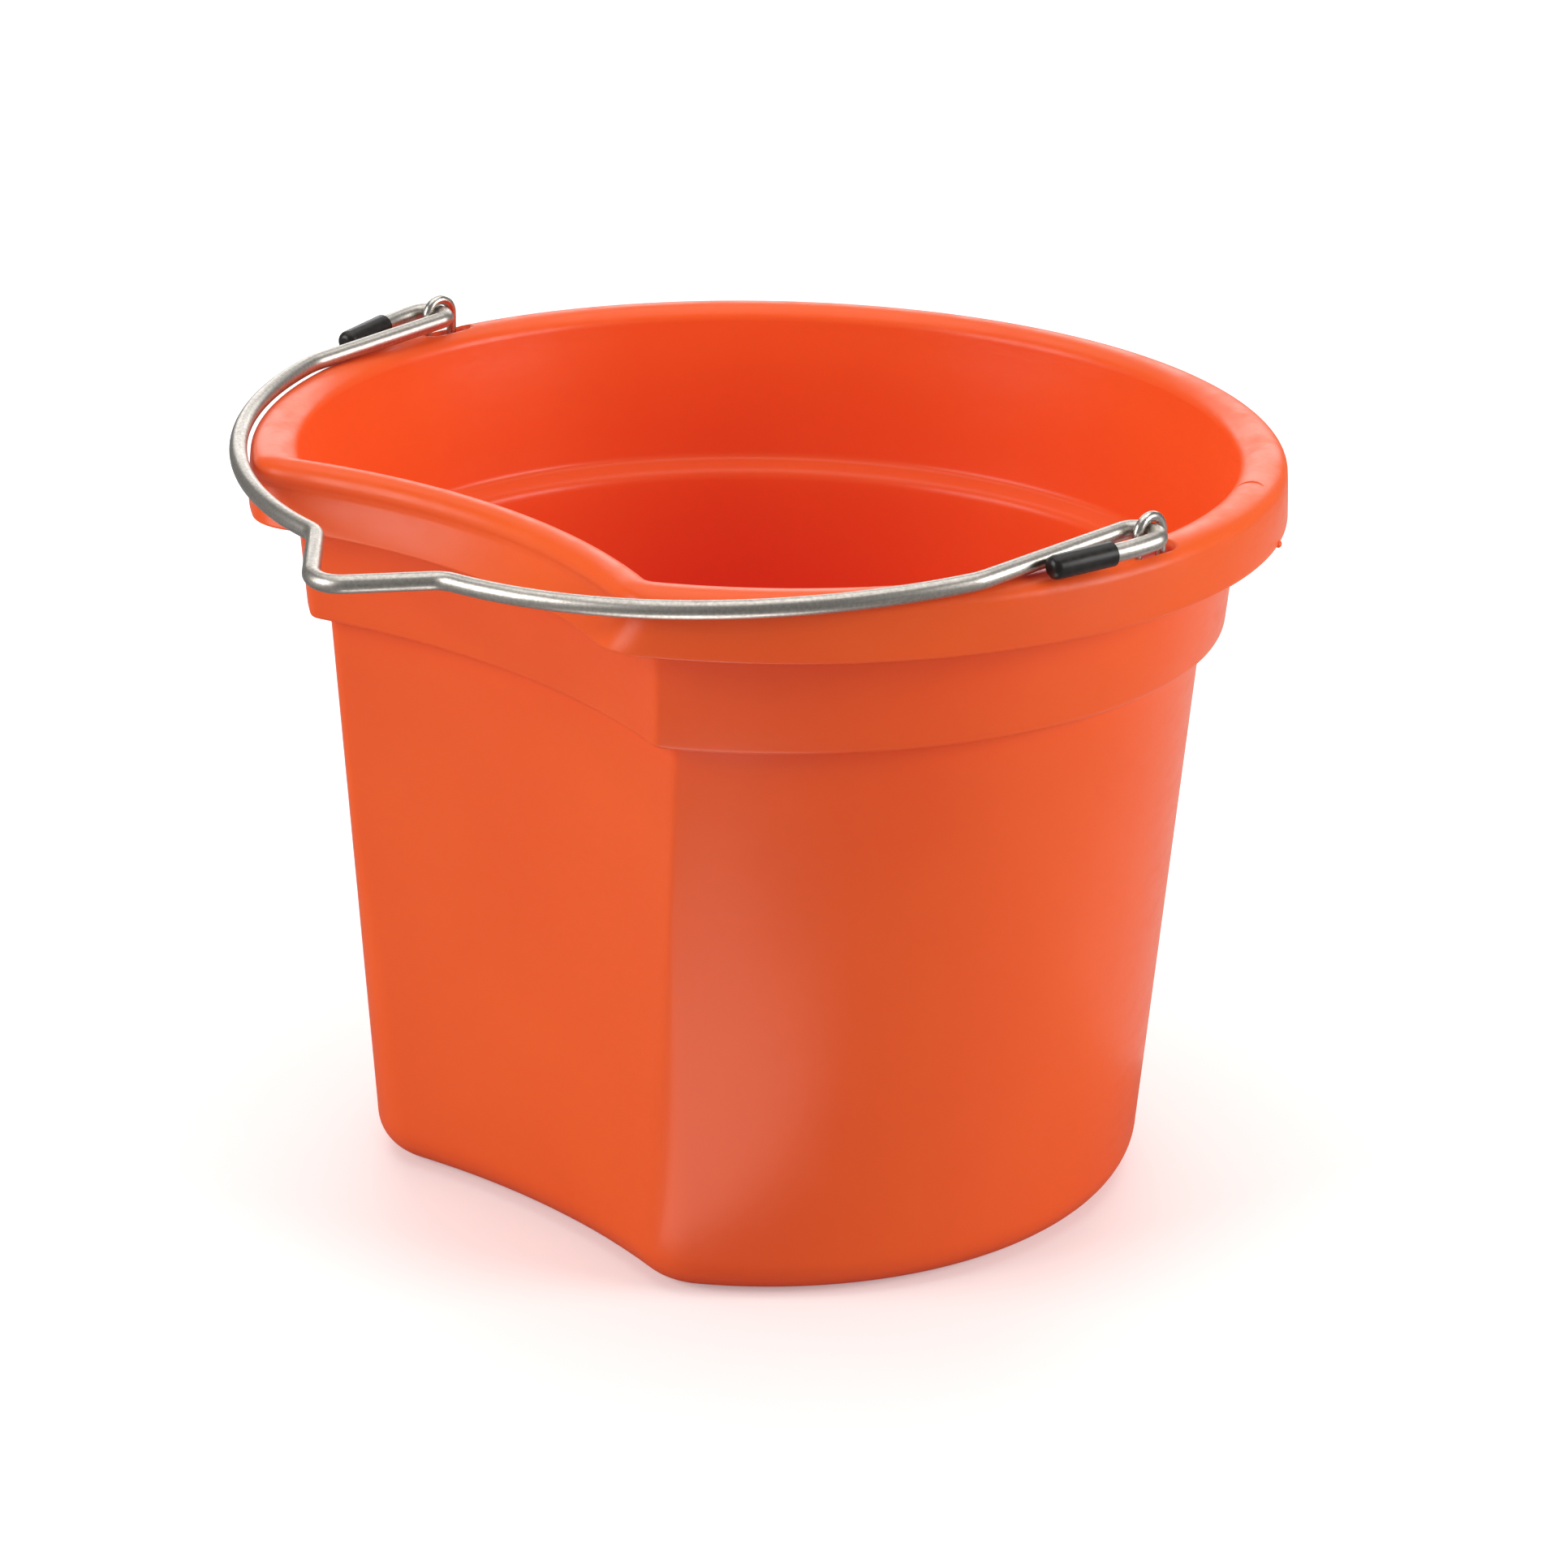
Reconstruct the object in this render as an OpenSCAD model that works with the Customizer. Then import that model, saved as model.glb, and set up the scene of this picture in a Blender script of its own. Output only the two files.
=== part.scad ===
// Flat-back feed bucket with a wire bail.
// Origin: on the floor, on the axis of the round front. +Z is up, the flat (slightly
// hollow) back faces +Y, the round front faces -Y and the two ears sit on the X axis.
// All sizes are in millimetres.

/* [Bucket body] */
// Overall width across the lower edge of the rim skirt
rim_d = 285.8; // [280:0.2:292]
// Overall height to the top of the rim crown
body_h = 211.2; // [205:0.2:225]
// Diameter of the round wall where it would meet the floor
base_d = 217.4; // [210:0.2:224]
// Diameter of the round wall just below the collar
wall_top_d = 242.6; // [238:0.2:246]
// Height of the lower edge of the collar
collar_z = 164; // [155:0.5:170]
// How far the collar stands out from the wall
collar_step = 6; // [4:0.1:7]
// How much the collar spreads between its lower edge and the rim, on the radius
collar_flare = 3.8; // [2:0.1:4]
// Thickness of the wall
wall_t = 3; // [2.4:0.1:3.4]
// Thickness of the floor
floor_t = 3.2; // [2.4:0.1:5]
// Outside rounding between the wall and the floor
base_round = 12; // [8:0.5:14]

/* [Flat back] */
// Distance from the axis to the middle of the back, at the floor
back_low_y = 86.6; // [82:0.1:88]
// The same distance just below the collar
back_high_y = 90.2; // [89:0.1:92]
// Radius of the hollow of the back wall, in plan
back_hollow_r = 226; // [210:1:260]
// Radius of the hollow of the rim along the back, in plan
rim_hollow_r = 168; // [160:1:180]
// Corner radius between the back and the round wall, near the top
corner_high_r = 4; // [3:0.5:6]
// The same corner radius at the floor
corner_low_r = 24; // [18:1:26]
// Height below which the corner radius starts to grow
corner_grow_z = 110; // [80:5:140]

/* [Rim] */
// Height of the whole rim, from the skirt's lower edge to the crown
rim_h = 17.2; // [15:0.1:19]
// Half the width of the crown along the round front
crown_half_w = 6.6; // [6:0.1:7]
// Half the width of the crown along the back
back_crown_half_w = 5.1; // [4.6:0.1:5.4]
// Height of the rounded part of the crown
crown_round_h = 4.5; // [4:0.1:5]
// Thickness of the rim skirt
skirt_t = 2.4; // [2.2:0.1:2.6]
// Corner radius of the skirt's lower edge, in plan
rim_corner_r = 16; // [12:0.5:18]

/* [Ears] */
// Diameter of the ear wire
ear_wire_d = 2.8; // [2.4:0.1:2.9]
// Half the distance between the two legs of an ear, centre to centre
ear_half_w = 4.65; // [4.6:0.05:4.8]
// Length of the foot turned out below the crown, past the bend
ear_foot_l = 3; // [2:0.5:4]
// Length of the slot that the ear stands in
slot_l = 17.4; // [17:0.1:18]
// Width of the slot
slot_w = 6.5; // [6.3:0.1:6.6]

/* [Bail] */
// Diameter of the bail wire (6 gauge)
bail_wire_d = 4.88; // [4.4:0.02:5]
// Distance from the bucket's axis to the middle of an ear and its hook
hook_x = 138; // [137.4:0.1:138.2]
// Half the width of the hook, on the middle of the wire
hook_r = 5.6; // [5.5:0.05:5.8]
// Length of the straight stretch of the hook that turns under the ear's arch
hook_flat = 1.4; // [1:0.1:2]
// Lean of the bail where the straight leg bends into the bow, in degrees
bow_start_deg = 18; // [14:0.5:22]
// Radius of the bow on each side of the middle
bow_r = 121.5; // [118:0.5:124]
// Reach of the hanging notch from the hinge axis, on the middle of the wire
bail_reach = 160.7; // [158:0.1:164]
// Slope of the sides of the hanging notch, in degrees
notch_deg = 42.6; // [38:0.2:46]
// Rounding at the tip of the notch and at its two shoulders
notch_r = 10; // [8:0.5:12]
// Angle by which the resting bail slopes down towards the back, in degrees
bail_rest_deg = 3.3; // [3:0.1:3.4]
// How far the notch dips below the plane of the bail's legs
bow_dip = 3.2; // [0:0.1:4]

/* [Tip caps] */
// Outside diameter of the cap on a wire end
cap_d = 6.5; // [6.2:0.1:6.7]
// Length of the cap
cap_l = 19.5; // [16:0.5:20]

/* [Hidden] */

// Steps along one ring of the body's outline
round_steps = 60;
corner_steps = 5;
back_steps = 20;
ring_size = round_steps + back_steps + 2 * corner_steps;
smallest_corner_r = 1.2;

rim_r = rim_d / 2;
crown_z = body_h - crown_round_h;
skirt_z = body_h - rim_h;
crown_r = rim_r - 0.7 - crown_half_w;
rim_back_y = 110.5;
back_crown_y = rim_back_y - 9.1;
wall_axis_y = back_high_y + back_hollow_r;
rim_axis_y = rim_back_y + rim_hollow_r;
collar_r = wall_top_d / 2 + collar_step;
collar_back_y = back_high_y + collar_step + 0.5;
collar_back_flare = 2.4;
collar_t = wall_t - 0.4;
channel_z = crown_z + 0.5;
edge_round = 0.6;

ear_wire_r = ear_wire_d / 2;
bail_wire_r = bail_wire_d / 2;
foot_bend_r = 2.2;
wire_steps = 20;
foot_z = channel_z - ear_wire_r - 0.4;
ear_arch_z = body_h + 4.3;
hinge_z = ear_arch_z + 0.6;
slot_mid_x = hook_x - 1.3;
slot_mid_y = ear_half_w + ear_wire_r + 1.4 - slot_l / 2;

// ---- outline of the body ---------------------------------------------------------
// A section is [round radius, y of the back's middle, y of the back arc's centre,
// corner radius, z]. Its outline is a circle about the Z axis whose back is replaced
// by a hollow arc, with a fillet at each corner.

function mix(a, b, t) = a + (b - a) * t;
function corner_y(r, q, axis_y, c) = (pow(r - c, 2) - pow(q + c, 2) + pow(axis_y, 2)) / (2 * axis_y);

function ring_points(s) =
    let (
        r = s[0],
        axis_y = s[2],
        q = axis_y - s[1],
        c = s[3],
        z = s[4],
        cy = corner_y(r, q, axis_y, c),
        cx = sqrt(pow(r - c, 2) - pow(cy, 2)),
        round_end = atan2(cy, cx),
        back_end = atan2(axis_y - cy, -cx)
    )
    concat(
        [for (i = [0 : round_steps - 1])
            let (a = mix(180 - round_end, 360 + round_end, i / round_steps))
            [r * cos(a), r * sin(a), z]],
        [for (i = [0 : corner_steps - 1])
            let (a = mix(round_end, back_end, i / corner_steps))
            [cx + c * cos(a), cy + c * sin(a), z]],
        [for (i = [0 : back_steps - 1])
            let (a = mix(back_end + 180, 360 - back_end, i / back_steps))
            [q * cos(a), axis_y + q * sin(a), z]],
        [for (i = [0 : corner_steps - 1])
            let (a = mix(180 - back_end, 180 - round_end, i / corner_steps))
            [-cx + c * cos(a), cy + c * sin(a), z]]
    );

// Joins each ring of n points to the next with triangles and closes the two ends
module skin(points, n) {
    last = len(points) / n - 1;
    sides = [for (k = [0 : last - 1], i = [0 : n - 1])
        let (
            j = (i + 1) % n,
            a = k * n + i,
            b = k * n + j
        )
        each [[a, a + n, b], [b, a + n, b + n]]];
    first_cap = [for (i = [0 : n - 1]) i];
    last_cap = [for (i = [n - 1 : -1 : 0]) last * n + i];
    polyhedron(points = points, faces = concat([first_cap], sides, [last_cap]), convexity = 10);
}

// ---- profile of the body ---------------------------------------------------------

function wall_r(z) = mix(base_d, wall_top_d, z / collar_z) / 2;
function wall_back(z) = mix(back_low_y, back_high_y, z / collar_z);
function corner_r(z) =
    corner_high_r + (corner_low_r - corner_high_r) * max(0, 1 - z / corner_grow_z);
function collar_share(z) = (z - collar_z) / (channel_z - collar_z);

// Wall outline at height z, drawn in by inset
function wall_section(z, inset, at_z) = [
    wall_r(z) - inset,
    wall_back(z) - inset,
    wall_axis_y,
    max(smallest_corner_r, corner_r(z) - inset),
    at_z
];

function collar_section(z, inset) = [
    collar_r + collar_flare * collar_share(z) - inset,
    collar_back_y + collar_back_flare * collar_share(z) - inset,
    wall_axis_y,
    max(smallest_corner_r, corner_high_r - inset),
    z
];

// Rim outline, drawn in by inset on the front and by back_inset on the back
function rim_section(z, inset, back_inset) = [
    rim_r - inset,
    rim_back_y - back_inset,
    rim_axis_y,
    max(smallest_corner_r, rim_corner_r - min(inset, back_inset)),
    z
];

// Height of the skirt above its lower edge, as a share of the height below the crown
function skirt_at(t) = mix(skirt_z, crown_z, t);

wall_heights = [20, 32, 45, 60, 80, 110];
outer_round_angles = [0, 18, 36, 54, 72, 86];
inner_round = base_round - wall_t;

outer_base = [for (a = outer_round_angles)
    wall_section(base_round, base_round * (1 - sin(a)), base_round * (1 - cos(a)))];
outer_wall = [for (z = concat(wall_heights, collar_z - 2.4)) wall_section(z, 0, z)];
shoulder = [
    wall_section(collar_z - 1.2, -0.8, collar_z - 1.2),
    [collar_r - 1.2, collar_back_y - 1.2, wall_axis_y, corner_high_r - 1, collar_z],
    [collar_r - 0.35, collar_back_y - 0.35, wall_axis_y, corner_high_r, collar_z + 0.4],
    collar_section(collar_z + 1.4, 0)
];
channel = [
    collar_section(channel_z - 3, 0),
    [crown_r - 3.2, back_crown_y - 1.3, mix(wall_axis_y, rim_axis_y, 0.7), smallest_corner_r, channel_z],
    rim_section(channel_z, skirt_t + 0.6, 9),
    rim_section(channel_z - 2.6, skirt_t + 0.45, 8.2),
    rim_section(skirt_at(0.4), skirt_t + 0.3, 5.6),
    rim_section(skirt_z + edge_round, skirt_t, 2.8)
];
skirt = [
    rim_section(skirt_z, skirt_t - edge_round, 2.8 - edge_round),
    rim_section(skirt_z, edge_round, edge_round),
    rim_section(skirt_z + edge_round, 0, 0),
    rim_section(skirt_at(0.35), 0.2, 2.4),
    rim_section(skirt_at(0.62), 0.35, 4.1),
    rim_section(skirt_at(0.8), 0.5, 5.2),
    rim_section(skirt_at(0.9), 0.6, 4.7)
];
crown = [for (a = [0 : 18 : 180])
    let (
        inset = rim_r - crown_r - crown_half_w * cos(a),
        back_inset = rim_back_y - back_crown_y - back_crown_half_w * cos(a)
    )
    rim_section(crown_z + crown_round_h * sin(a), inset, back_inset)];
inner_collar = [
    collar_section(crown_z - 5, collar_t),
    collar_section(collar_z + 1.8, collar_t)
];
ledge = [
    wall_section(collar_z - 1.8, wall_t, collar_z - 1.8)
];
inner_wall = [for (i = [len(wall_heights) - 1 : -1 : 0])
    wall_section(wall_heights[i], wall_t, wall_heights[i])];
inner_base = [for (i = [len(outer_round_angles) - 1 : -1 : 0])
    let (a = outer_round_angles[i])
    wall_section(base_round, wall_t + inner_round * (1 - sin(a)), floor_t + inner_round * (1 - cos(a)))];

body_sections = concat(outer_base, outer_wall, shoulder, channel, skirt, crown,
    inner_collar, ledge, inner_wall, inner_base);

// ---- wire shapes -----------------------------------------------------------------

// Round wire along an arc in the XY plane, between two polar angles
module wire_arc(centre, radius, from_deg, to_deg, wire_r) {
    translate([centre[0], centre[1], 0])
        rotate([0, 0, from_deg])
            rotate_extrude(angle = to_deg - from_deg, $fn = 96)
                translate([radius, 0])
                    circle(r = wire_r, $fn = 32);
}

// Round wire between two points of the XY plane
module wire_line(from, to, wire_r) {
    run = to - from;
    translate([from[0], from[1], 0])
        rotate([0, 90, atan2(run[1], run[0])])
            cylinder(r = wire_r, h = norm(run), $fn = 32);
}

function polar(centre, radius, deg) = centre + radius * [cos(deg), sin(deg)];

// ---- bail geometry, in the plane of the bail -------------------------------------
// Here x is across the bucket and y runs from the hinge axis to the notch.

hook_bend_r = hook_r - hook_flat / 2;
hook_inner = [hook_x - hook_flat / 2, hook_bend_r];
hook_outer = [hook_x + hook_flat / 2, hook_bend_r];
bow_centre = [13.6, 20];
bend_r = 20;
bend_centre = polar(bow_centre, bow_r - bend_r, bow_start_deg);
leg_gap = norm(bend_centre - hook_inner);
// Lean of the straight leg, which touches the hook on one side and the bend on the other
leg_deg = atan2(hook_inner[0] - bend_centre[0], bend_centre[1] - hook_inner[1])
    - asin((hook_bend_r + bend_r) / leg_gap);

notch_side_deg = 90 - notch_deg;
tip_centre = [0, bail_reach - notch_r];
side_dir = [sin(notch_side_deg), -cos(notch_side_deg)];
from_bow = polar(tip_centre, 2 * notch_r, notch_side_deg) - bow_centre;
along = from_bow * side_dir;
side_l = -along - sqrt(pow(along, 2) - from_bow * from_bow + pow(bow_r + notch_r, 2));
shoulder_centre = polar(tip_centre, 2 * notch_r, notch_side_deg) + side_l * side_dir;
shoulder_dir = shoulder_centre - bow_centre;
bow_end_deg = atan2(shoulder_dir[1], shoulder_dir[0]);

return_r = 45;
return_deg = 14;
return_centre = hook_outer + [hook_bend_r - return_r, 0];
return_start = polar(return_centre, return_r, return_deg);
return_dir = [-sin(return_deg), cos(return_deg)];
dip_start = 60;
cap_gap = 2.5;
cap_wall = 2;
cap_clearance = 0.04;

// Points along the middle of the wire as [x, y, direction of the wire's outer side].
// An arc's outer side faces away from its centre, or towards it where flip is 180.
function arc_path(centre, radius, from_deg, to_deg, steps, flip = 0) =
    [for (i = [0 : steps])
        let (
            a = mix(from_deg, to_deg, i / steps),
            p = polar(centre, radius, a)
        )
        [p[0], p[1], a - flip]];

// Right half, from the tip of the notch to the wire's end inside the cap. The straight
// lengths are the gaps between one arc's last point and the next arc's first.
half_path = concat(
    arc_path(tip_centre, notch_r, 90, notch_side_deg, 5),
    arc_path(shoulder_centre, notch_r, 180 + notch_side_deg, 180 + bow_end_deg, 4, 180),
    arc_path(bow_centre, bow_r, bow_end_deg - 3, bow_start_deg, 18),
    arc_path(bend_centre, bend_r, bow_start_deg - 4, leg_deg, 3),
    arc_path(hook_inner, hook_bend_r, 180 + leg_deg, 270, 7, 180),
    arc_path(hook_outer, hook_bend_r, 270, 360, 7, 180),
    arc_path(return_centre, return_r, 3, return_deg, 3, -180),
    [concat(return_start + (cap_gap + cap_l - cap_wall) * return_dir, return_deg + 180)]
);
last_point = len(half_path) - 1;
bail_path = concat(
    [for (i = [last_point : -1 : 1])
        [-half_path[i][0], half_path[i][1], 180 - half_path[i][2]]],
    half_path
);

// Dip of the bow below the plane of the legs, y away from the hinge axis
function dip(y) = bow_dip * pow(max(0, y - dip_start) / (bail_reach - dip_start), 2);

// Circle of points around one point of the bail's path
function wire_ring(p) =
    [for (i = [0 : wire_steps - 1])
        let (
            a = 360 * i / wire_steps,
            out = bail_wire_r * cos(a)
        )
        [p[0] + out * cos(p[2]), p[1] + out * sin(p[2]), bail_wire_r * sin(a) - dip(p[1])]];

// Places children drawn in the bail's plane at the bail's rest position
module at_rest_bail() {
    translate([0, 0, hinge_z])
        rotate([-bail_rest_deg, 0, 0])
            children();
}

// ---- sub-parts -------------------------------------------------------------------

module bucket_body() {
    color([0.93, 0.33, 0.12])
        difference() {
            skin([for (s = body_sections) each ring_points(s)], ring_size);
            ear_slot();
            mirror([1, 0, 0]) ear_slot();
        }
}

// Oblong hole through the crown
module ear_slot() {
    half_run = (slot_l - slot_w) / 2;
    slot_z = channel_z - 2;
    slot_h = body_h - slot_z + 1;
    for (side = [-1, 1])
        translate([slot_mid_x, slot_mid_y + side * half_run, slot_z])
            cylinder(d = slot_w, h = slot_h, $fn = 48);
    translate([slot_mid_x - slot_w / 2, slot_mid_y - half_run, slot_z])
        cube([slot_w, 2 * half_run, slot_h]);
}

module bail_wire() {
    color([0.66, 0.65, 0.62])
        at_rest_bail()
            skin([for (p = bail_path) each wire_ring(p)], wire_steps);
}

// One wire ear: an arch, two legs through the slot and two feet turned out below it
module ear() {
    bend_centre = [ear_half_w + foot_bend_r, foot_z + foot_bend_r];
    foot_start = [bend_centre[0], foot_z];
    translate([hook_x, 0, 0])
        rotate([90, 0, 90]) {
            wire_arc([0, ear_arch_z], ear_half_w, 0, 180, ear_wire_r);
            for (side = [0, 1])
                mirror([side, 0, 0]) {
                    wire_line([ear_half_w, ear_arch_z], [ear_half_w, bend_centre[1]], ear_wire_r);
                    wire_arc(bend_centre, foot_bend_r, 180, 270, ear_wire_r);
                    wire_line(foot_start, foot_start + [ear_foot_l, 0], ear_wire_r);
                }
        }
}

module left_ear() {
    color([0.7, 0.69, 0.67]) mirror([1, 0, 0]) ear();
}

module right_ear() {
    color([0.7, 0.69, 0.67]) ear();
}

// Cap on the end of the return leg: a sleeve with a rounded closed end
module tip_cap() {
    outer_r = cap_d / 2;
    bore_r = bail_wire_r + cap_clearance;
    end_r = 2.2;
    lip = 0.3;
    start = return_start + cap_gap * return_dir;
    at_rest_bail()
        translate([start[0], start[1], 0])
            rotate([-90, 0, return_deg])
                difference() {
                    union() {
                        cylinder(r1 = outer_r - lip, r2 = outer_r, h = lip, $fn = 64);
                        translate([0, 0, lip]) cylinder(r = outer_r, h = cap_l - end_r - lip, $fn = 64);
                        cylinder(r = outer_r - end_r, h = cap_l, $fn = 64);
                        translate([0, 0, cap_l - end_r])
                            rotate_extrude($fn = 64)
                                translate([outer_r - end_r, 0])
                                    intersection() {
                                        circle(r = end_r, $fn = 48);
                                        square(end_r);
                                    }
                    }
                    translate([0, 0, -1])
                        cylinder(r = bore_r, h = cap_l - cap_wall + 1 + cap_clearance, $fn = 64);
                }
}

module left_tip_cap() {
    color([0.13, 0.12, 0.12]) mirror([1, 0, 0]) tip_cap();
}

module right_tip_cap() {
    color([0.13, 0.12, 0.12]) tip_cap();
}

bucket_body();
bail_wire();
left_ear();
right_ear();
left_tip_cap();
right_tip_cap();
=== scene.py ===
import math

import bmesh
import bpy
from mathutils import Matrix, Vector


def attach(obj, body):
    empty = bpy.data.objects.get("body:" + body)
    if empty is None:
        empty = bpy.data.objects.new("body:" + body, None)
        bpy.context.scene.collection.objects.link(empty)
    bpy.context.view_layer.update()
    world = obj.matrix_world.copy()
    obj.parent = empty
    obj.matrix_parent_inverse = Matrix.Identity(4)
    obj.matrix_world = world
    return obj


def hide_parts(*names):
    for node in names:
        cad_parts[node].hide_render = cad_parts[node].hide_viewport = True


# Feed bucket: smooth visible pieces around the CAD frame. Lengths are in millimetres
# until they are turned into metres by MM.

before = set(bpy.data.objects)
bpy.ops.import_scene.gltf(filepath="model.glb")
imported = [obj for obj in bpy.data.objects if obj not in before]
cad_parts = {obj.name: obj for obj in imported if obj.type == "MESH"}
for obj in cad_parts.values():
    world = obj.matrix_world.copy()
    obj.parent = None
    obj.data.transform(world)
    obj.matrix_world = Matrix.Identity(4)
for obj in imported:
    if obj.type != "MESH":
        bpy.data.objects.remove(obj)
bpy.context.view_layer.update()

MM = 0.001

# ---- sizes shared with the CAD model, in millimetres ---------------------------------

RIM_R = 142.9
BODY_H = 211.2
BASE_R = 108.7
WALL_TOP_R = 121.3
COLLAR_Z = 164
COLLAR_STEP = 6
COLLAR_FLARE = 3.8
COLLAR_BACK_FLARE = 2.4
WALL_T = 3
COLLAR_T = 2.6
FLOOR_T = 3.2
BASE_ROUND = 12
BACK_LOW_Y = 86.6
BACK_HIGH_Y = 90.2
WALL_AXIS_Y = BACK_HIGH_Y + 226
RIM_BACK_Y = 110.5
RIM_AXIS_Y = RIM_BACK_Y + 168
CORNER_HIGH_R = 4
CORNER_LOW_R = 24
CORNER_GROW_Z = 110
RIM_CORNER_R = 16
SMALLEST_CORNER_R = 1.2
CROWN_HALF_W = 6.6
BACK_CROWN_HALF_W = 5.1
CROWN_ROUND_H = 4.5
SKIRT_T = 2.4
CROWN_Z = BODY_H - CROWN_ROUND_H
SKIRT_Z = BODY_H - 17.2
CHANNEL_Z = CROWN_Z + 0.5
CROWN_R = RIM_R - 0.7 - CROWN_HALF_W
BACK_CROWN_Y = RIM_BACK_Y - 9.1
COLLAR_R = WALL_TOP_R + COLLAR_STEP
COLLAR_BACK_Y = BACK_HIGH_Y + COLLAR_STEP + 0.5

EAR_WIRE_R = 1.39
EAR_HALF_W = 4.65
EAR_FOOT_L = 3
FOOT_BEND_R = 2.2
FOOT_Z = CHANNEL_Z - EAR_WIRE_R - 0.4
EAR_ARCH_Z = BODY_H + 4.3
SLOT_L = 17.4
SLOT_W = 6.5

BAIL_WIRE_R = 2.44
HOOK_X = 138
HOOK_R = 5.6
HOOK_FLAT = 1.4
HOOK_BEND_R = HOOK_R - HOOK_FLAT / 2
HINGE_Z = EAR_ARCH_Z + 0.6
BOW_START_DEG = 18
BOW_R = 121.5
BOW_CENTRE = Vector((13.6, 20))
BEND_R = 20
BAIL_REACH = 160.7
NOTCH_DEG = 42.6
NOTCH_R = 10
BAIL_REST_DEG = 3.3
BOW_DIP = 3.2
DIP_START = 60
RETURN_R = 45
RETURN_DEG = 14
CAP_GAP = 2.5
CAP_R = 3.25
CAP_L = 19.5
CAP_WALL = 2

# ---- outline of the body -------------------------------------------------------------
# A section is (round radius, y of the back's middle, y of the back arc's centre,
# corner radius, z), as in the CAD model, with more points round it.

ROUND_STEPS = 220
CORNER_STEPS = 12
BACK_STEPS = 76
RING_SIZE = ROUND_STEPS + BACK_STEPS + 2 * CORNER_STEPS


def mix(a, b, t):
    return a + (b - a) * t


def arc_points(cx, cy, radius, start, end, steps):
    angles = [mix(start, end, i / steps) for i in range(steps)]
    return [(cx + radius * math.cos(a), cy + radius * math.sin(a)) for a in angles]


def ring_points(section):
    r, back_y, axis_y, c, z = section
    q = axis_y - back_y
    cy = ((r - c) ** 2 - (q + c) ** 2 + axis_y ** 2) / (2 * axis_y)
    cx = math.sqrt((r - c) ** 2 - cy ** 2)
    round_end = math.atan2(cy, cx)
    back_end = math.atan2(axis_y - cy, -cx)
    outline = arc_points(0, 0, r, math.pi - round_end, math.tau + round_end, ROUND_STEPS)
    outline += arc_points(cx, cy, c, round_end, back_end, CORNER_STEPS)
    outline += arc_points(0, axis_y, q, back_end + math.pi, math.tau - back_end, BACK_STEPS)
    outline += arc_points(-cx, cy, c, math.pi - back_end, math.pi - round_end, CORNER_STEPS)
    return [(x, y, z) for x, y in outline]


def corner_r(z):
    return CORNER_HIGH_R + (CORNER_LOW_R - CORNER_HIGH_R) * max(0, 1 - z / CORNER_GROW_Z)


def wall_section(z, inset, at_z):
    return (
        mix(BASE_R, WALL_TOP_R, z / COLLAR_Z) - inset,
        mix(BACK_LOW_Y, BACK_HIGH_Y, z / COLLAR_Z) - inset,
        WALL_AXIS_Y,
        max(SMALLEST_CORNER_R, corner_r(z) - inset),
        at_z,
    )


def collar_section(z, inset):
    share = (z - COLLAR_Z) / (CHANNEL_Z - COLLAR_Z)
    return (
        COLLAR_R + COLLAR_FLARE * share - inset,
        COLLAR_BACK_Y + COLLAR_BACK_FLARE * share - inset,
        WALL_AXIS_Y,
        max(SMALLEST_CORNER_R, CORNER_HIGH_R - inset),
        z,
    )


def rim_section(z, inset, back_inset):
    return (
        RIM_R - inset,
        RIM_BACK_Y - back_inset,
        RIM_AXIS_Y,
        max(SMALLEST_CORNER_R, RIM_CORNER_R - min(inset, back_inset)),
        z,
    )


def towards(section, other, length):
    """The section that lies length along the way to the other one, at most half way."""
    gap = math.hypot(other[0] - section[0], other[4] - section[4])
    share = min(0.5, length / gap)
    return [mix(a, b, share) for a, b in zip(section, other)]


def rounded(control):
    """Sections through (section, cut) pairs, with each corner cut back and curved."""
    steps = 5
    sections = []
    for i, (section, cut) in enumerate(control):
        if cut == 0:
            sections.append(section)
            continue
        start = towards(section, control[i - 1][0], cut)
        end = towards(section, control[i + 1][0], cut)
        for k in range(steps + 1):
            t = k / steps
            sections.append([
                (1 - t) ** 2 * a + 2 * t * (1 - t) * b + t ** 2 * c
                for a, b, c in zip(start, section, end)
            ])
    return sections


def skirt_at(share):
    return mix(SKIRT_Z, CROWN_Z, share)


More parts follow.
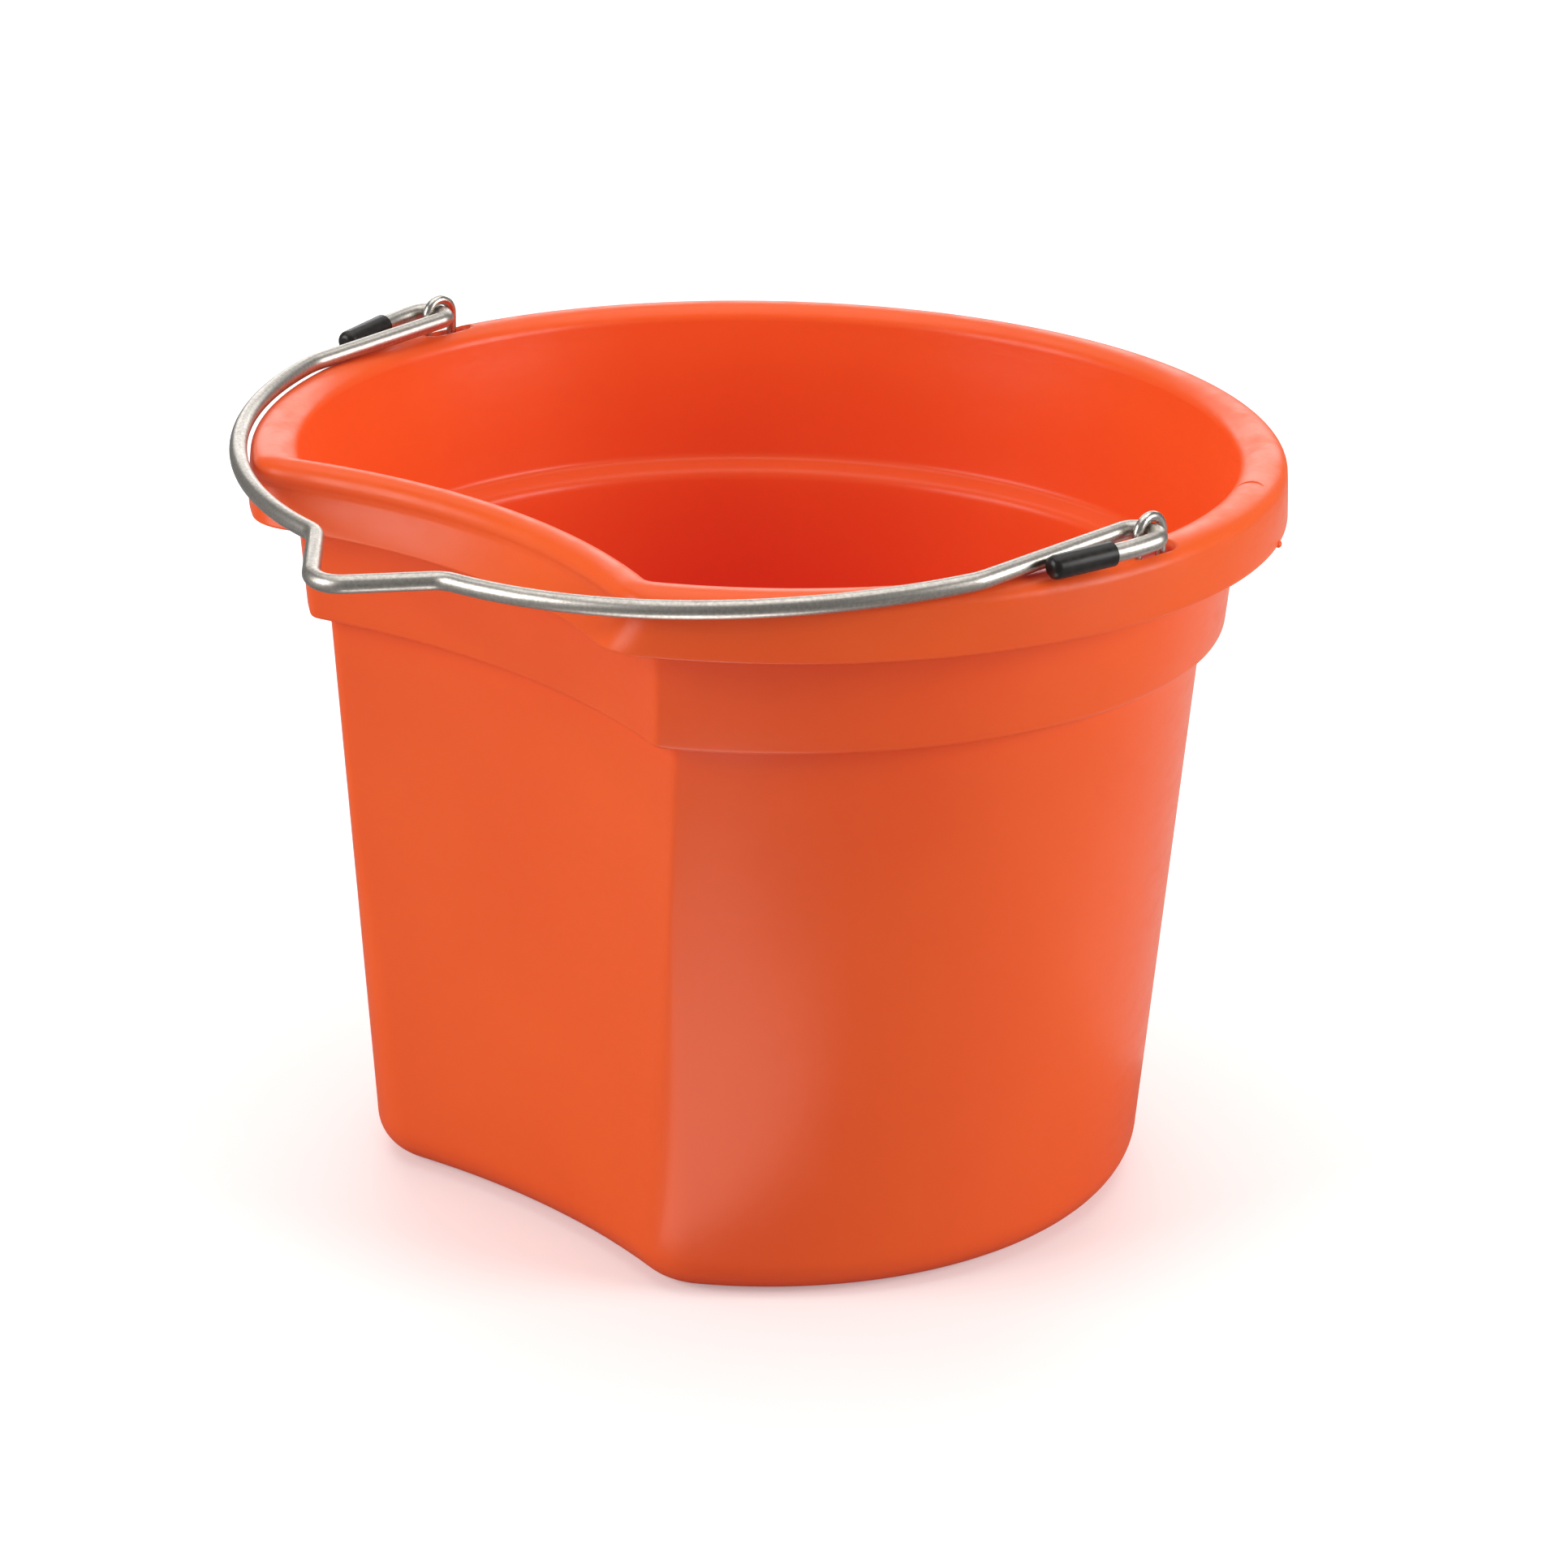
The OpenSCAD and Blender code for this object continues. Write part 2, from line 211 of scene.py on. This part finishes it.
def body_sections():
    """Sections of the whole shell: up the outside, over the crown and down the inside."""
    inner_round = BASE_ROUND - WALL_T
    quarter = [math.radians(a) for a in range(0, 91, 6)]
    half = [math.radians(a) for a in range(0, 181, 6)]
    wall_heights = list(range(20, 160, 8))

    control = [
        (wall_section(
            BASE_ROUND, BASE_ROUND * (1 - math.sin(a)), BASE_ROUND * (1 - math.cos(a))), 0)
        for a in quarter
    ]
    control += [(wall_section(z, 0, z), 0) for z in wall_heights]
    control += [
        (wall_section(COLLAR_Z - 0.7, 0, COLLAR_Z - 0.7), 1.5),
        ((COLLAR_R, COLLAR_BACK_Y, WALL_AXIS_Y, CORNER_HIGH_R, COLLAR_Z + 0.1), 1.3),
        (collar_section(COLLAR_Z + 8, 0), 0),
        (collar_section(CHANNEL_Z - 12, 0), 0),
        (collar_section(CHANNEL_Z - 3, 0), 1),
        ((CROWN_R - 3.2, BACK_CROWN_Y - 1.3, mix(WALL_AXIS_Y, RIM_AXIS_Y, 0.7),
          SMALLEST_CORNER_R, CHANNEL_Z), 1),
        (rim_section(CHANNEL_Z, SKIRT_T + 0.6, 9), 0.8),
        (rim_section(skirt_at(0.4), SKIRT_T + 0.3, 5.6), 1),
        (rim_section(SKIRT_Z, SKIRT_T, 2.8), 0.5),
        (rim_section(SKIRT_Z, 0, 0), 0.8),
        (rim_section(skirt_at(0.35), 0.2, 2.4), 2),
        (rim_section(skirt_at(0.62), 0.35, 4.1), 1.5),
        (rim_section(skirt_at(0.84), 0.52, 5.1), 1.2),
    ]
    for a in half:
        inset = RIM_R - CROWN_R - CROWN_HALF_W * math.cos(a)
        back_inset = RIM_BACK_Y - BACK_CROWN_Y - BACK_CROWN_HALF_W * math.cos(a)
        control.append((rim_section(CROWN_Z + CROWN_ROUND_H * math.sin(a), inset, back_inset), 0))
    control += [
        (collar_section(CROWN_Z - 14, COLLAR_T), 7),
        (collar_section(COLLAR_Z + 12, COLLAR_T), 0),
        (collar_section(COLLAR_Z + 1.8, COLLAR_T), 1.6),
        (wall_section(COLLAR_Z - 1.2, WALL_T, COLLAR_Z - 1.2), 2.4),
    ]
    control += [(wall_section(z, WALL_T, z), 0) for z in reversed(wall_heights)]
    for a in reversed(quarter):
        control.append((wall_section(
            BASE_ROUND, WALL_T + inner_round * (1 - math.sin(a)),
            FLOOR_T + inner_round * (1 - math.cos(a))), 0))
    return rounded(control)


# ---- mesh helpers --------------------------------------------------------------------


def new_object(name, verts, faces, sharp_deg, uvs=None):
    """A smooth-shaded object from points in millimetres, with sharp edges past an angle."""
    mesh = bpy.data.meshes.new(name)
    mesh.from_pydata([[c * MM for c in v] for v in verts], [], faces)
    if uvs:
        layer = mesh.uv_layers.new(name="along")
        for loop in mesh.loops:
            layer.data[loop.index].uv = uvs[loop.vertex_index]
    mesh.validate()
    mesh.update()
    bm = bmesh.new()
    bm.from_mesh(mesh)
    bmesh.ops.recalc_face_normals(bm, faces=bm.faces)
    bm.to_mesh(mesh)
    bm.free()
    mesh.shade_smooth()
    mesh.set_sharp_from_angle(angle=math.radians(sharp_deg))
    obj = bpy.data.objects.new(name, mesh)
    bpy.context.scene.collection.objects.link(obj)
    return obj


def ring_faces(rings, n):
    faces = []
    for k in range(rings - 1):
        for i in range(n):
            j = (i + 1) % n
            faces.append((k * n + i, k * n + j, (k + 1) * n + j, (k + 1) * n + i))
    faces.append(tuple(range(n)))
    faces.append(tuple(range((rings - 1) * n, rings * n)))
    return faces


def finish_piece(obj, body, nodes, material):
    obj.data.materials.append(material)
    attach(obj, body)
    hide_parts(*nodes)


# ---- wire paths ----------------------------------------------------------------------
# A path point is (x, y, outer direction in degrees) in the plane of the wire.


def polar(centre, radius, deg):
    a = math.radians(deg)
    return Vector((centre[0] + radius * math.cos(a), centre[1] + radius * math.sin(a)))


def arc_path(centre, radius, start, end, steps, flip=0):
    path = []
    for i in range(steps + 1):
        a = mix(start, end, i / steps)
        p = polar(centre, radius, a)
        path.append((p.x, p.y, a - flip))
    return path


def bail_half_path():
    """Right half of the bail, from the tip of the notch to the wire's end."""
    hook_inner = Vector((HOOK_X - HOOK_FLAT / 2, HOOK_BEND_R))
    hook_outer = Vector((HOOK_X + HOOK_FLAT / 2, HOOK_BEND_R))
    bend_centre = polar(BOW_CENTRE, BOW_R - BEND_R, BOW_START_DEG)
    to_hook = hook_inner - bend_centre
    leg_deg = math.degrees(
        math.atan2(to_hook.x, -to_hook.y)
        - math.asin((HOOK_BEND_R + BEND_R) / to_hook.length))

    side_deg = 90 - NOTCH_DEG
    side = Vector((math.sin(math.radians(side_deg)), -math.cos(math.radians(side_deg))))
    tip_centre = Vector((0, BAIL_REACH - NOTCH_R))
    from_bow = polar(tip_centre, 2 * NOTCH_R, side_deg) - BOW_CENTRE
    along = from_bow.dot(side)
    side_l = -along - math.sqrt(along ** 2 - from_bow.length_squared + (BOW_R + NOTCH_R) ** 2)
    shoulder_centre = polar(tip_centre, 2 * NOTCH_R, side_deg) + side_l * side
    shoulder = shoulder_centre - BOW_CENTRE
    bow_end_deg = math.degrees(math.atan2(shoulder.y, shoulder.x))

    return_centre = hook_outer + Vector((HOOK_BEND_R - RETURN_R, 0))
    return_start = polar(return_centre, RETURN_R, RETURN_DEG)
    lean = math.radians(RETURN_DEG)
    return_dir = Vector((-math.sin(lean), math.cos(lean)))
    wire_end = return_start + (CAP_GAP + CAP_L - CAP_WALL) * return_dir

    path = arc_path(tip_centre, NOTCH_R, 90, side_deg, 12)
    path += arc_path(shoulder_centre, NOTCH_R, 180 + side_deg, 180 + bow_end_deg, 10, 180)
    path += arc_path(BOW_CENTRE, BOW_R, bow_end_deg - 1, BOW_START_DEG, 60)
    path += arc_path(bend_centre, BEND_R, BOW_START_DEG - 1, leg_deg, 8)
    path += arc_path(hook_inner, HOOK_BEND_R, 180 + leg_deg, 270, 20, 180)
    path += arc_path(hook_outer, HOOK_BEND_R, 270, 360, 20, 180)
    path += arc_path(return_centre, RETURN_R, 1, RETURN_DEG, 10, -180)
    path.append((wire_end.x, wire_end.y, RETURN_DEG + 180))
    return path, return_start, return_dir


def tube(name, path, radius, steps, place):
    """Round wire along a flat path. place turns (in plane x, y, out of plane) to a point."""
    verts, uvs = [], []
    run = 0
    last = None
    for x, y, out_deg in path:
        here = Vector((x, y))
        run += (here - last).length if last else 0
        last = here
        out_x = math.cos(math.radians(out_deg))
        out_y = math.sin(math.radians(out_deg))
        for i in range(steps):
            a = math.tau * i / steps
            out = radius * math.cos(a)
            verts.append(place(x + out * out_x, y + out * out_y, radius * math.sin(a)))
            uvs.append((run * MM, radius * MM * abs(a - math.pi)))
    return new_object(name, verts, ring_faces(len(path), steps), 50, uvs)


def place_bail(x, y, z):
    """From the plane of the bail's legs to its place at rest, with the dip of the bow."""
    a = math.radians(-BAIL_REST_DEG)
    z -= BOW_DIP * (max(0, y - DIP_START) / (BAIL_REACH - DIP_START)) ** 2
    return (x, y * math.cos(a) - z * math.sin(a), HINGE_Z + y * math.sin(a) + z * math.cos(a))


def ear_path():
    """One ear: foot, leg, arch, leg and foot, in the plane along the slot."""
    bend = (EAR_HALF_W + FOOT_BEND_R, FOOT_Z + FOOT_BEND_R)
    half = arc_path((0, EAR_ARCH_Z), EAR_HALF_W, 90, 0, 16)
    half += arc_path(bend, FOOT_BEND_R, 180, 270, 10, 180)
    half.append((bend[0] + EAR_FOOT_L - 0.3, FOOT_Z, 90))
    mirrored = [(-x, y, 180 - out) for x, y, out in reversed(half[1:])]
    return mirrored + half


def lathe(name, profile, steps, place):
    """A solid of revolution from (radius, distance along the axis) pairs."""
    verts = []
    for radius, along in profile:
        for i in range(steps):
            a = math.tau * i / steps
            verts.append(place(radius * math.cos(a), radius * math.sin(a), along))
    return new_object(name, verts, ring_faces(len(profile), steps), 40)


# ---- materials -----------------------------------------------------------------------


def material(name, settings):
    """A material with a Principled shader. Returns it with its node tree and shader."""
    made = bpy.data.materials.new(name)
    made.use_nodes = True
    shader = made.node_tree.nodes["Principled BSDF"]
    for key, value in settings.items():
        shader.inputs[key].default_value = value
    return made, made.node_tree, shader


def coordinates(tree, kind, scale):
    source = tree.nodes.new("ShaderNodeTexCoord")
    mapping = tree.nodes.new("ShaderNodeMapping")
    mapping.inputs["Scale"].default_value = scale
    tree.links.new(source.outputs[kind], mapping.inputs["Vector"])
    return mapping.outputs["Vector"]


def noise(tree, vector, scale, detail, rough=0.5):
    node = tree.nodes.new("ShaderNodeTexNoise")
    node.inputs["Scale"].default_value = scale
    node.inputs["Detail"].default_value = detail
    node.inputs["Roughness"].default_value = rough
    tree.links.new(vector, node.inputs["Vector"])
    return node.outputs["Fac"]


def ramp(tree, value, stops):
    """Colour ramp over (position, colour) stops."""
    node = tree.nodes.new("ShaderNodeValToRGB")
    elements = node.color_ramp.elements
    while len(elements) < len(stops):
        elements.new(0.5)
    for element, (position, colour) in zip(elements, stops):
        element.position = position
        element.color = (*colour, 1)
    tree.links.new(value, node.inputs["Fac"])
    return node.outputs["Color"]


def spread(tree, value, low_in, high_in, low_out, high_out):
    node = tree.nodes.new("ShaderNodeMapRange")
    for key, number in zip(
            ("From Min", "From Max", "To Min", "To Max"), (low_in, high_in, low_out, high_out)):
        node.inputs[key].default_value = number
    tree.links.new(value, node.inputs["Value"])
    return node.outputs["Result"]


def bump(tree, shader, height, strength, distance):
    node = tree.nodes.new("ShaderNodeBump")
    node.inputs["Strength"].default_value = strength
    node.inputs["Distance"].default_value = distance
    tree.links.new(height, node.inputs["Height"])
    tree.links.new(node.outputs["Normal"], shader.inputs["Normal"])


def orange_material():
    made, tree, shader = material("orange_plastic", {
        "IOR": 1.5,
        "Specular IOR Level": 0.28,
        "Subsurface Weight": 0.12,
        "Subsurface Radius": (0.006, 0.0022, 0.001),
        "Subsurface Scale": 0.5,
        # Painted glow: a faint red emission that lifts the shade everywhere, standing in for light
        # soaking through the thin coloured plastic
        "Emission Color": (1, 0.04, 0.1, 1),
        "Emission Strength": 0.08,
    })
    object_space = coordinates(tree, "Object", (1, 1, 1))
    cloud = noise(tree, object_space, 14, 2)
    colour = ramp(tree, cloud, [
        (0.3, (0.82, 0.104, 0.008)),
        (0.7, (0.85, 0.120, 0.010)),
    ])
    tree.links.new(colour, shader.inputs["Base Color"])
    # Duller, slightly rubbed patches, stronger on the crown
    height = tree.nodes.new("ShaderNodeSeparateXYZ")
    tree.links.new(object_space, height.inputs["Vector"])
    wear = spread(tree, height.outputs["Z"], 0.200, 0.209, 0.35, 1)
    scuff = noise(tree, coordinates(tree, "Object", (1, 1, 3)), 75, 6, 0.7)
    rubbed = tree.nodes.new("ShaderNodeMath")
    rubbed.operation = "MULTIPLY"
    tree.links.new(wear, rubbed.inputs[0])
    tree.links.new(spread(tree, scuff, 0.45, 0.72, 0, 1), rubbed.inputs[1])
    rubbed = rubbed.outputs["Value"]
    tree.links.new(spread(tree, rubbed, 0, 1, 0.31, 0.5), shader.inputs["Roughness"])
    fine = noise(tree, object_space, 420, 3)
    relief = tree.nodes.new("ShaderNodeMath")
    relief.operation = "ADD"
    tree.links.new(spread(tree, fine, 0, 1, 0, 0.35), relief.inputs[0])
    tree.links.new(rubbed, relief.inputs[1])
    bump(tree, shader, relief.outputs["Value"], 0.12, 0.0004)
    return made


def wire_material(name, dark, light, low_rough, high_rough):
    """Metal with streaks along the wire and fine grain."""
    made, tree, shader = material(name, {"Metallic": 1.0})
    streak = noise(tree, coordinates(tree, "UV", (90, 1500, 1)), 1, 6, 0.6)
    grain = noise(tree, coordinates(tree, "Object", (1, 1, 1)), 1100, 4, 0.6)
    tone = tree.nodes.new("ShaderNodeMath")
    tone.operation = "ADD"
    tree.links.new(spread(tree, streak, 0.3, 0.7, 0, 0.5), tone.inputs[0])
    tree.links.new(spread(tree, grain, 0.35, 0.65, 0, 0.5), tone.inputs[1])
    tone = tone.outputs["Value"]
    tree.links.new(ramp(tree, tone, [(0.1, dark), (0.8, light)]), shader.inputs["Base Color"])
    tree.links.new(spread(tree, tone, 0, 1, high_rough, low_rough), shader.inputs["Roughness"])
    bump(tree, shader, tone, 0.2, 0.0001)
    return made


def vinyl_material():
    made, tree, shader = material("black_vinyl", {"Specular IOR Level": 0.35})
    object_space = coordinates(tree, "Object", (1, 1, 1))
    grain = noise(tree, object_space, 500, 4)
    tree.links.new(
        ramp(tree, grain, [(0.3, (0.010, 0.008, 0.007)), (0.7, (0.022, 0.018, 0.016))]),
        shader.inputs["Base Color"])
    tree.links.new(spread(tree, grain, 0.3, 0.7, 0.28, 0.4), shader.inputs["Roughness"])
    bump(tree, shader, grain, 0.15, 0.0002)
    return made


orange = orange_material()
bail_metal = wire_material("galvanised_wire", (0.40, 0.37, 0.33), (0.62, 0.58, 0.53), 0.3, 0.42)
ear_metal = wire_material("ear_steel", (0.44, 0.41, 0.37), (0.68, 0.65, 0.60), 0.2, 0.32)
vinyl = vinyl_material()

# ---- body ----------------------------------------------------------------------------


def slot_cutter(side):
    """Oblong block that cuts one ear slot through the crown."""
    mid_x = side * (HOOK_X - 1.3)
    mid_y = EAR_HALF_W + EAR_WIRE_R + 1.4 - SLOT_L / 2
    half_run = (SLOT_L - SLOT_W) / 2
    end_steps = 24
    outline = []
    for start, end_y in ((0, mid_y + half_run), (math.pi, mid_y - half_run)):
        for i in range(end_steps + 1):
            a = start + math.pi * i / end_steps
            outline.append((mid_x + SLOT_W / 2 * math.cos(a), end_y + SLOT_W / 2 * math.sin(a)))
    verts = [(x, y, z) for z in (CHANNEL_Z - 2, BODY_H + 1) for x, y in outline]
    return new_object("slot_cutter", verts, ring_faces(2, len(outline)), 40)


sections = body_sections()
points = [p for section in sections for p in ring_points(section)]
bucket = new_object("bucket", points, ring_faces(len(sections), RING_SIZE), 60)
for side in (-1, 1):
    cutter = slot_cutter(side)
    cut = bucket.modifiers.new("slot", "BOOLEAN")
    cut.object = cutter
    cut.operation = "DIFFERENCE"
    cut.solver = "EXACT"
    with bpy.context.temp_override(object=bucket, active_object=bucket):
        bpy.ops.object.modifier_apply(modifier="slot")
    bpy.data.objects.remove(cutter)
finish_piece(bucket, "bucket", ["bucket_body"], orange)

# Two moulding flaws: a thin raised crescent across the crown and a burr on the skirt's edge
FLAW_DEG = 209


def on_crown(r_from_axis, deg, lift):
    """Point on the crown of the round front, a distance from the axis."""
    across = (r_from_axis - CROWN_R) / CROWN_HALF_W
    z = CROWN_Z + CROWN_ROUND_H * math.sqrt(max(0, 1 - across ** 2)) + lift
    a = math.radians(deg)
    return (r_from_axis * math.cos(a), r_from_axis * math.sin(a), z)


def crescent():
    """A thin raised line across the crown, tapering to both ends."""
    verts = []
    stations = 17
    steps = 8
    for i in range(stations):
        t = 2 * i / (stations - 1) - 1
        thick = 0.3 * math.sqrt(1 - 0.96 * t ** 2)
        r_here = CROWN_R - 1 + 3.6 * t
        deg = FLAW_DEG - 0.7 * t ** 2
        for k in range(steps):
            a = math.tau * k / steps
            verts.append(on_crown(
                r_here, deg + math.degrees(thick * math.cos(a) / r_here), thick * math.sin(a)))
    return new_object("crown_flaw", verts, ring_faces(stations, steps), 60)


def burr():
    """A small lump on the lower edge of the skirt."""
    out_r, along_r, up_r = 0.9, 1.4, 1.0
    verts = []
    rows = 9
    steps = 14
    a = math.radians(FLAW_DEG)
    for i in range(rows):
        lat = math.pi * (i + 0.5) / rows
        for k in range(steps):
            lon = math.tau * k / steps
            out = out_r * math.sin(lat) * math.cos(lon)
            along = along_r * math.sin(lat) * math.sin(lon)
            r_here = RIM_R - 0.1 + out
            verts.append((
                r_here * math.cos(a) - along * math.sin(a),
                r_here * math.sin(a) + along * math.cos(a),
                SKIRT_Z + 0.5 + up_r * math.cos(lat)))
    return new_object("skirt_burr", verts, ring_faces(rows, steps), 60)


for flaw in (crescent(), burr()):
    flaw.data.materials.append(orange)
    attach(flaw, "bucket")

# ---- bail, ears and caps -------------------------------------------------------------

half_path, cap_start, cap_dir = bail_half_path()
mirrored_half = [(-x, y, 180 - out) for x, y, out in reversed(half_path[1:])]
bail = tube("bail", mirrored_half + half_path, BAIL_WIRE_R, 40, place_bail)
finish_piece(bail, "bail", ["bail_wire"], bail_metal)

# Radius and distance along the cap: a sleeve with a lip and a rounded closed end
END_R = 2.2
cap_profile = [(BAIL_WIRE_R + 0.04, 0.6), (BAIL_WIRE_R + 0.1, 0), (CAP_R - 0.35, 0), (CAP_R, 0.35)]
cap_profile += [(CAP_R, 4), (CAP_R, 10), (CAP_R, CAP_L - END_R)]
cap_profile += [
    (CAP_R - END_R + END_R * math.cos(math.radians(a)),
     CAP_L - END_R + END_R * math.sin(math.radians(a)))
    for a in range(10, 91, 10)]

for side, label in ((-1, "left"), (1, "right")):
    ear = tube(
        label + "_ear_wire", ear_path(), EAR_WIRE_R, 32,
        lambda y, z, x: (side * (HOOK_X + x), y, z))
    finish_piece(ear, label + "_ear_body", [label + "_ear"], ear_metal)

    def place_cap(across, up, along):
        start = cap_start + (CAP_GAP + along) * cap_dir
        return place_bail(side * (start.x + across * cap_dir.y), start.y - across * cap_dir.x, up)

    cap = lathe(label + "_cap", cap_profile, 48, place_cap)
    finish_piece(cap, "bail", [label + "_tip_cap"], vinyl)

# ---- stage, light and camera ---------------------------------------------------------


def floor():
    """Pale paper under the bucket, wide enough to fill the view."""
    made, tree, shader = material("pale_floor", {
        "Roughness": 0.6,
        "Specular IOR Level": 0.5,
        "Emission Color": (1, 1, 1, 1),
    })
    object_space = coordinates(tree, "Object", (1, 1, 1))
    paper = ramp(tree, noise(tree, object_space, 3, 2), [
        (0.3, (0.93, 0.93, 0.925)),
        (0.7, (0.95, 0.95, 0.945)),
    ])
    # The camera sees white paper, the bucket is lit by a greyer one and mirrors a dark one
    path = tree.nodes.new("ShaderNodeLightPath")
    mirrored = tree.nodes.new("ShaderNodeMix")
    mirrored.data_type = "RGBA"
    mirrored.inputs["A"].default_value = (0.58, 0.58, 0.58, 1)
    mirrored.inputs["B"].default_value = (0.25, 0.25, 0.25, 1)
    tree.links.new(path.outputs["Is Glossy Ray"], mirrored.inputs["Factor"])
    seen = tree.nodes.new("ShaderNodeMix")
    seen.data_type = "RGBA"
    tree.links.new(mirrored.outputs["Result"], seen.inputs["A"])
    tree.links.new(paper, seen.inputs["B"])
    tree.links.new(path.outputs["Is Camera Ray"], seen.inputs["Factor"])
    tree.links.new(seen.outputs["Result"], shader.inputs["Base Color"])
    glow = spread(tree, path.outputs["Is Camera Ray"], 0, 1, 0, 0.25)
    tree.links.new(glow, shader.inputs["Emission Strength"])
    half = 8000
    ground = new_object(
        "floor", [(-half, -half, 0), (half, -half, 0), (half, half, 0), (-half, half, 0)],
        [(0, 1, 2, 3)], 30)
    ground.data.materials.append(made)


def softbox(name, place, aim, size, watts):
    """A rectangular lamp aimed at a point. Places and sizes are in metres."""
    data = bpy.data.lights.new(name, "AREA")
    data.shape = "RECTANGLE"
    data.size, data.size_y = size
    data.energy = watts
    lamp = bpy.data.objects.new(name, data)
    lamp.location = place
    lamp.rotation_mode = "QUATERNION"
    lamp.rotation_quaternion = (Vector(aim) - Vector(place)).to_track_quat("-Z", "Y")
    bpy.context.scene.collection.objects.link(lamp)
    return lamp


def sheen_card(name, x, y, size, watts):
    """A bright patch lying on the floor that only the gloss of the wall picks up."""
    card = softbox(name, (x, y, 0.003), (x, y, 1), size, watts)
    card.visible_camera = False
    card.visible_diffuse = False


floor()
softbox("top_light", (0.3, -0.2, 2.2), (0, 0, 0.1), (2.4, 2.4), 27)
softbox("left_light", (0.9, 2.0, 1.0), (0, 0, 0.1), (1.4, 1.4), 32)
softbox("right_light", (-2.2, -1.3, 1.0), (0, 0, 0.1), (1.4, 1.4), 46)
softbox("back_light", (1.7, -1.7, 1.0), (0, 0, 0.15), (2.6, 1.0), 18)
sheen_card("corner_card", -0.125, 0.19, (0.16, 0.16), 0.2)
sheen_card("edge_card", 0.1, -0.42, (0.7, 0.6), 0.46)

world = bpy.data.worlds.new("studio")
world.use_nodes = True
world.node_tree.nodes["Background"].inputs["Color"].default_value = (1, 1, 1, 1)
world.node_tree.nodes["Background"].inputs["Strength"].default_value = 0.22
bpy.context.scene.world = world
bpy.context.scene.view_settings.view_transform = "Standard"
bpy.context.scene.view_settings.look = "None"


def camera():
    """Long lens, above and to the left of the flat back."""
    azimuth = math.radians(224.936)
    elevation = math.radians(21.177)
    back = Vector((
        math.sin(azimuth) * math.cos(elevation),
        -math.cos(azimuth) * math.cos(elevation),
        math.sin(elevation)))
    place = Vector((0, 0, 0.10205)) + 1.36233 * back
    pan = Matrix.Rotation(-0.004676, 3, "Z")
    across = pan @ Vector((0, 0, 1)).cross(back).normalized()
    back = Matrix.Rotation(0.003842, 3, across) @ (pan @ back)
    across = Matrix.Rotation(0.021257, 3, back) @ across
    up = back.cross(across)
    data = bpy.data.cameras.new("camera")
    data.lens = 110.45
    data.sensor_width = 36
    made = bpy.data.objects.new("camera", data)
    turn = Matrix((across, up, back)).transposed()
    made.matrix_world = Matrix.Translation(place) @ turn.to_4x4()
    bpy.context.scene.collection.objects.link(made)
    bpy.context.scene.camera = made


camera()
